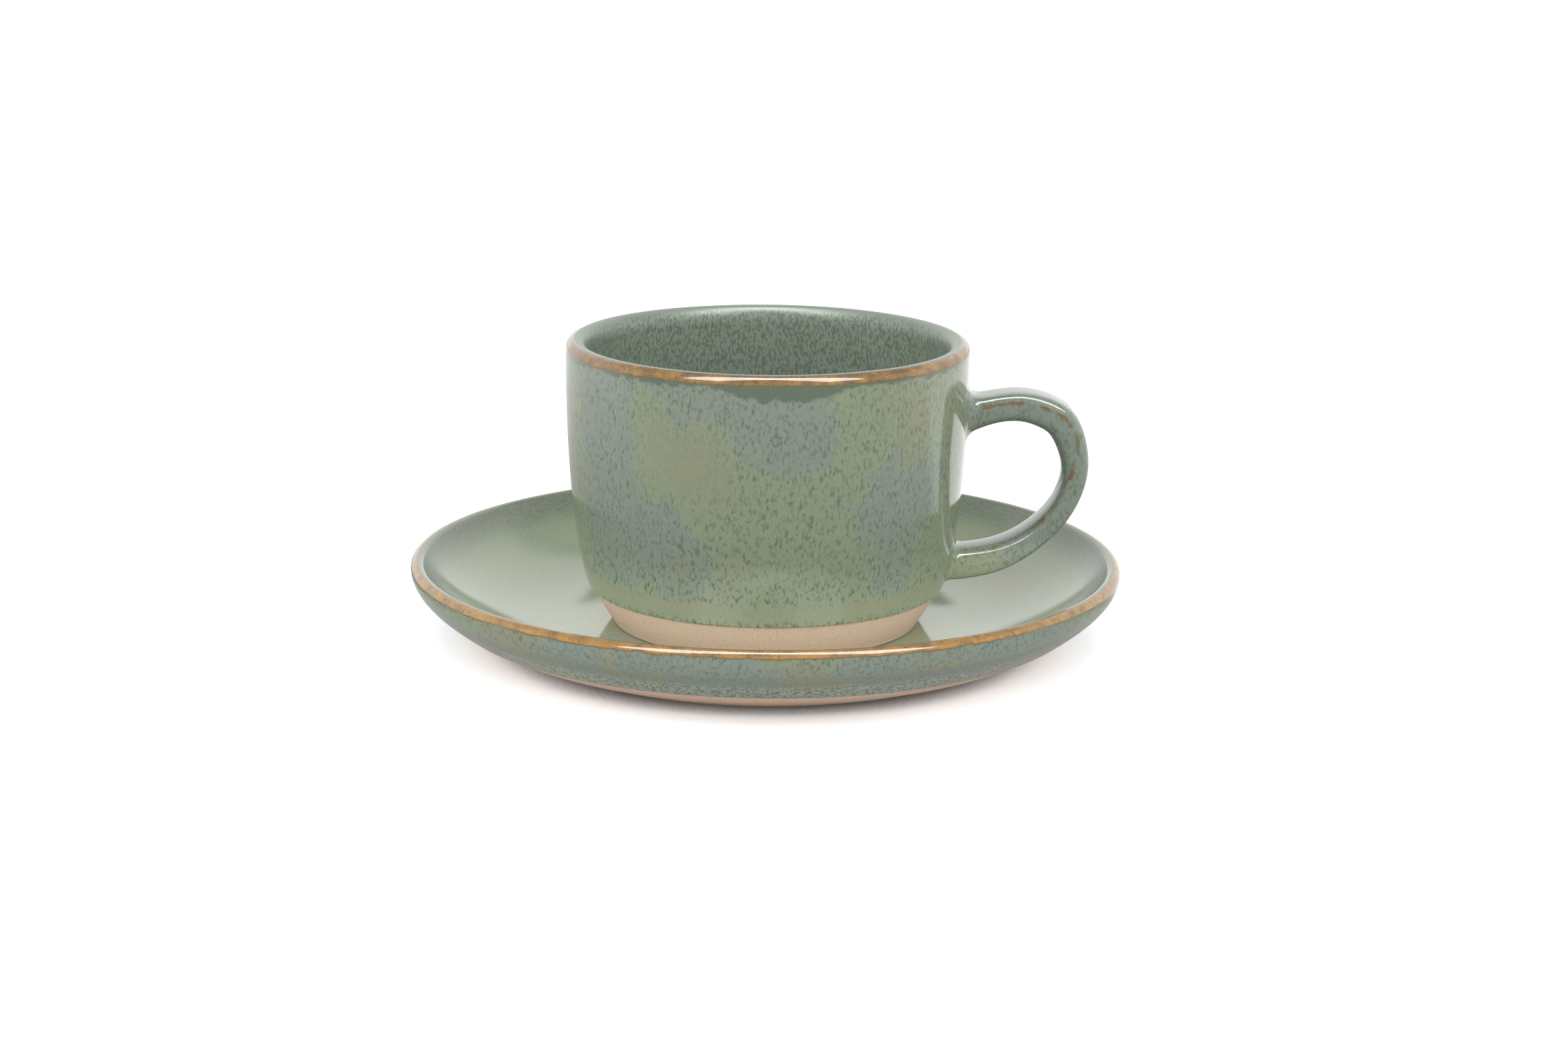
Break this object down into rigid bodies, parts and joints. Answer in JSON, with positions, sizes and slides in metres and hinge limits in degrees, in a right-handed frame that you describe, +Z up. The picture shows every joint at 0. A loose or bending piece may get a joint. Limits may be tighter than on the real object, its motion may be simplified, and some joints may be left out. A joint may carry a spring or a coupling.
{
  "type": "cup with saucer",
  "caption": "Stoneware coffee cup with a strap handle, standing on a coupe saucer; mottled green glaze stops short of a bare clay foot.",
  "frame": {"origin": "centre of the saucer's foot, on the table", "axes": "+Z up, +X towards the cup's handle"},
  "size_m": [0.149, 0.149, 0.0645],
  "materials": {
    "clay": "bare fired stoneware clay, fine grain, matt",
    "glaze": "glossy mottled sage green reactive glaze that breaks to brown on the rims"
  },
  "bodies": {
    "saucer": {"saucer_body": "clay", "saucer_glaze": "glaze"},
    "cup": {"cup_body": "clay", "cup_handle": "clay", "cup_glaze": "glaze"}
  },
  "joints": [
    {"name": "cup_lift", "type": "slide", "parent": "saucer", "child": "cup", "axis": [0, 0, 1], "range_m": [0, 0.12]}
  ]
}
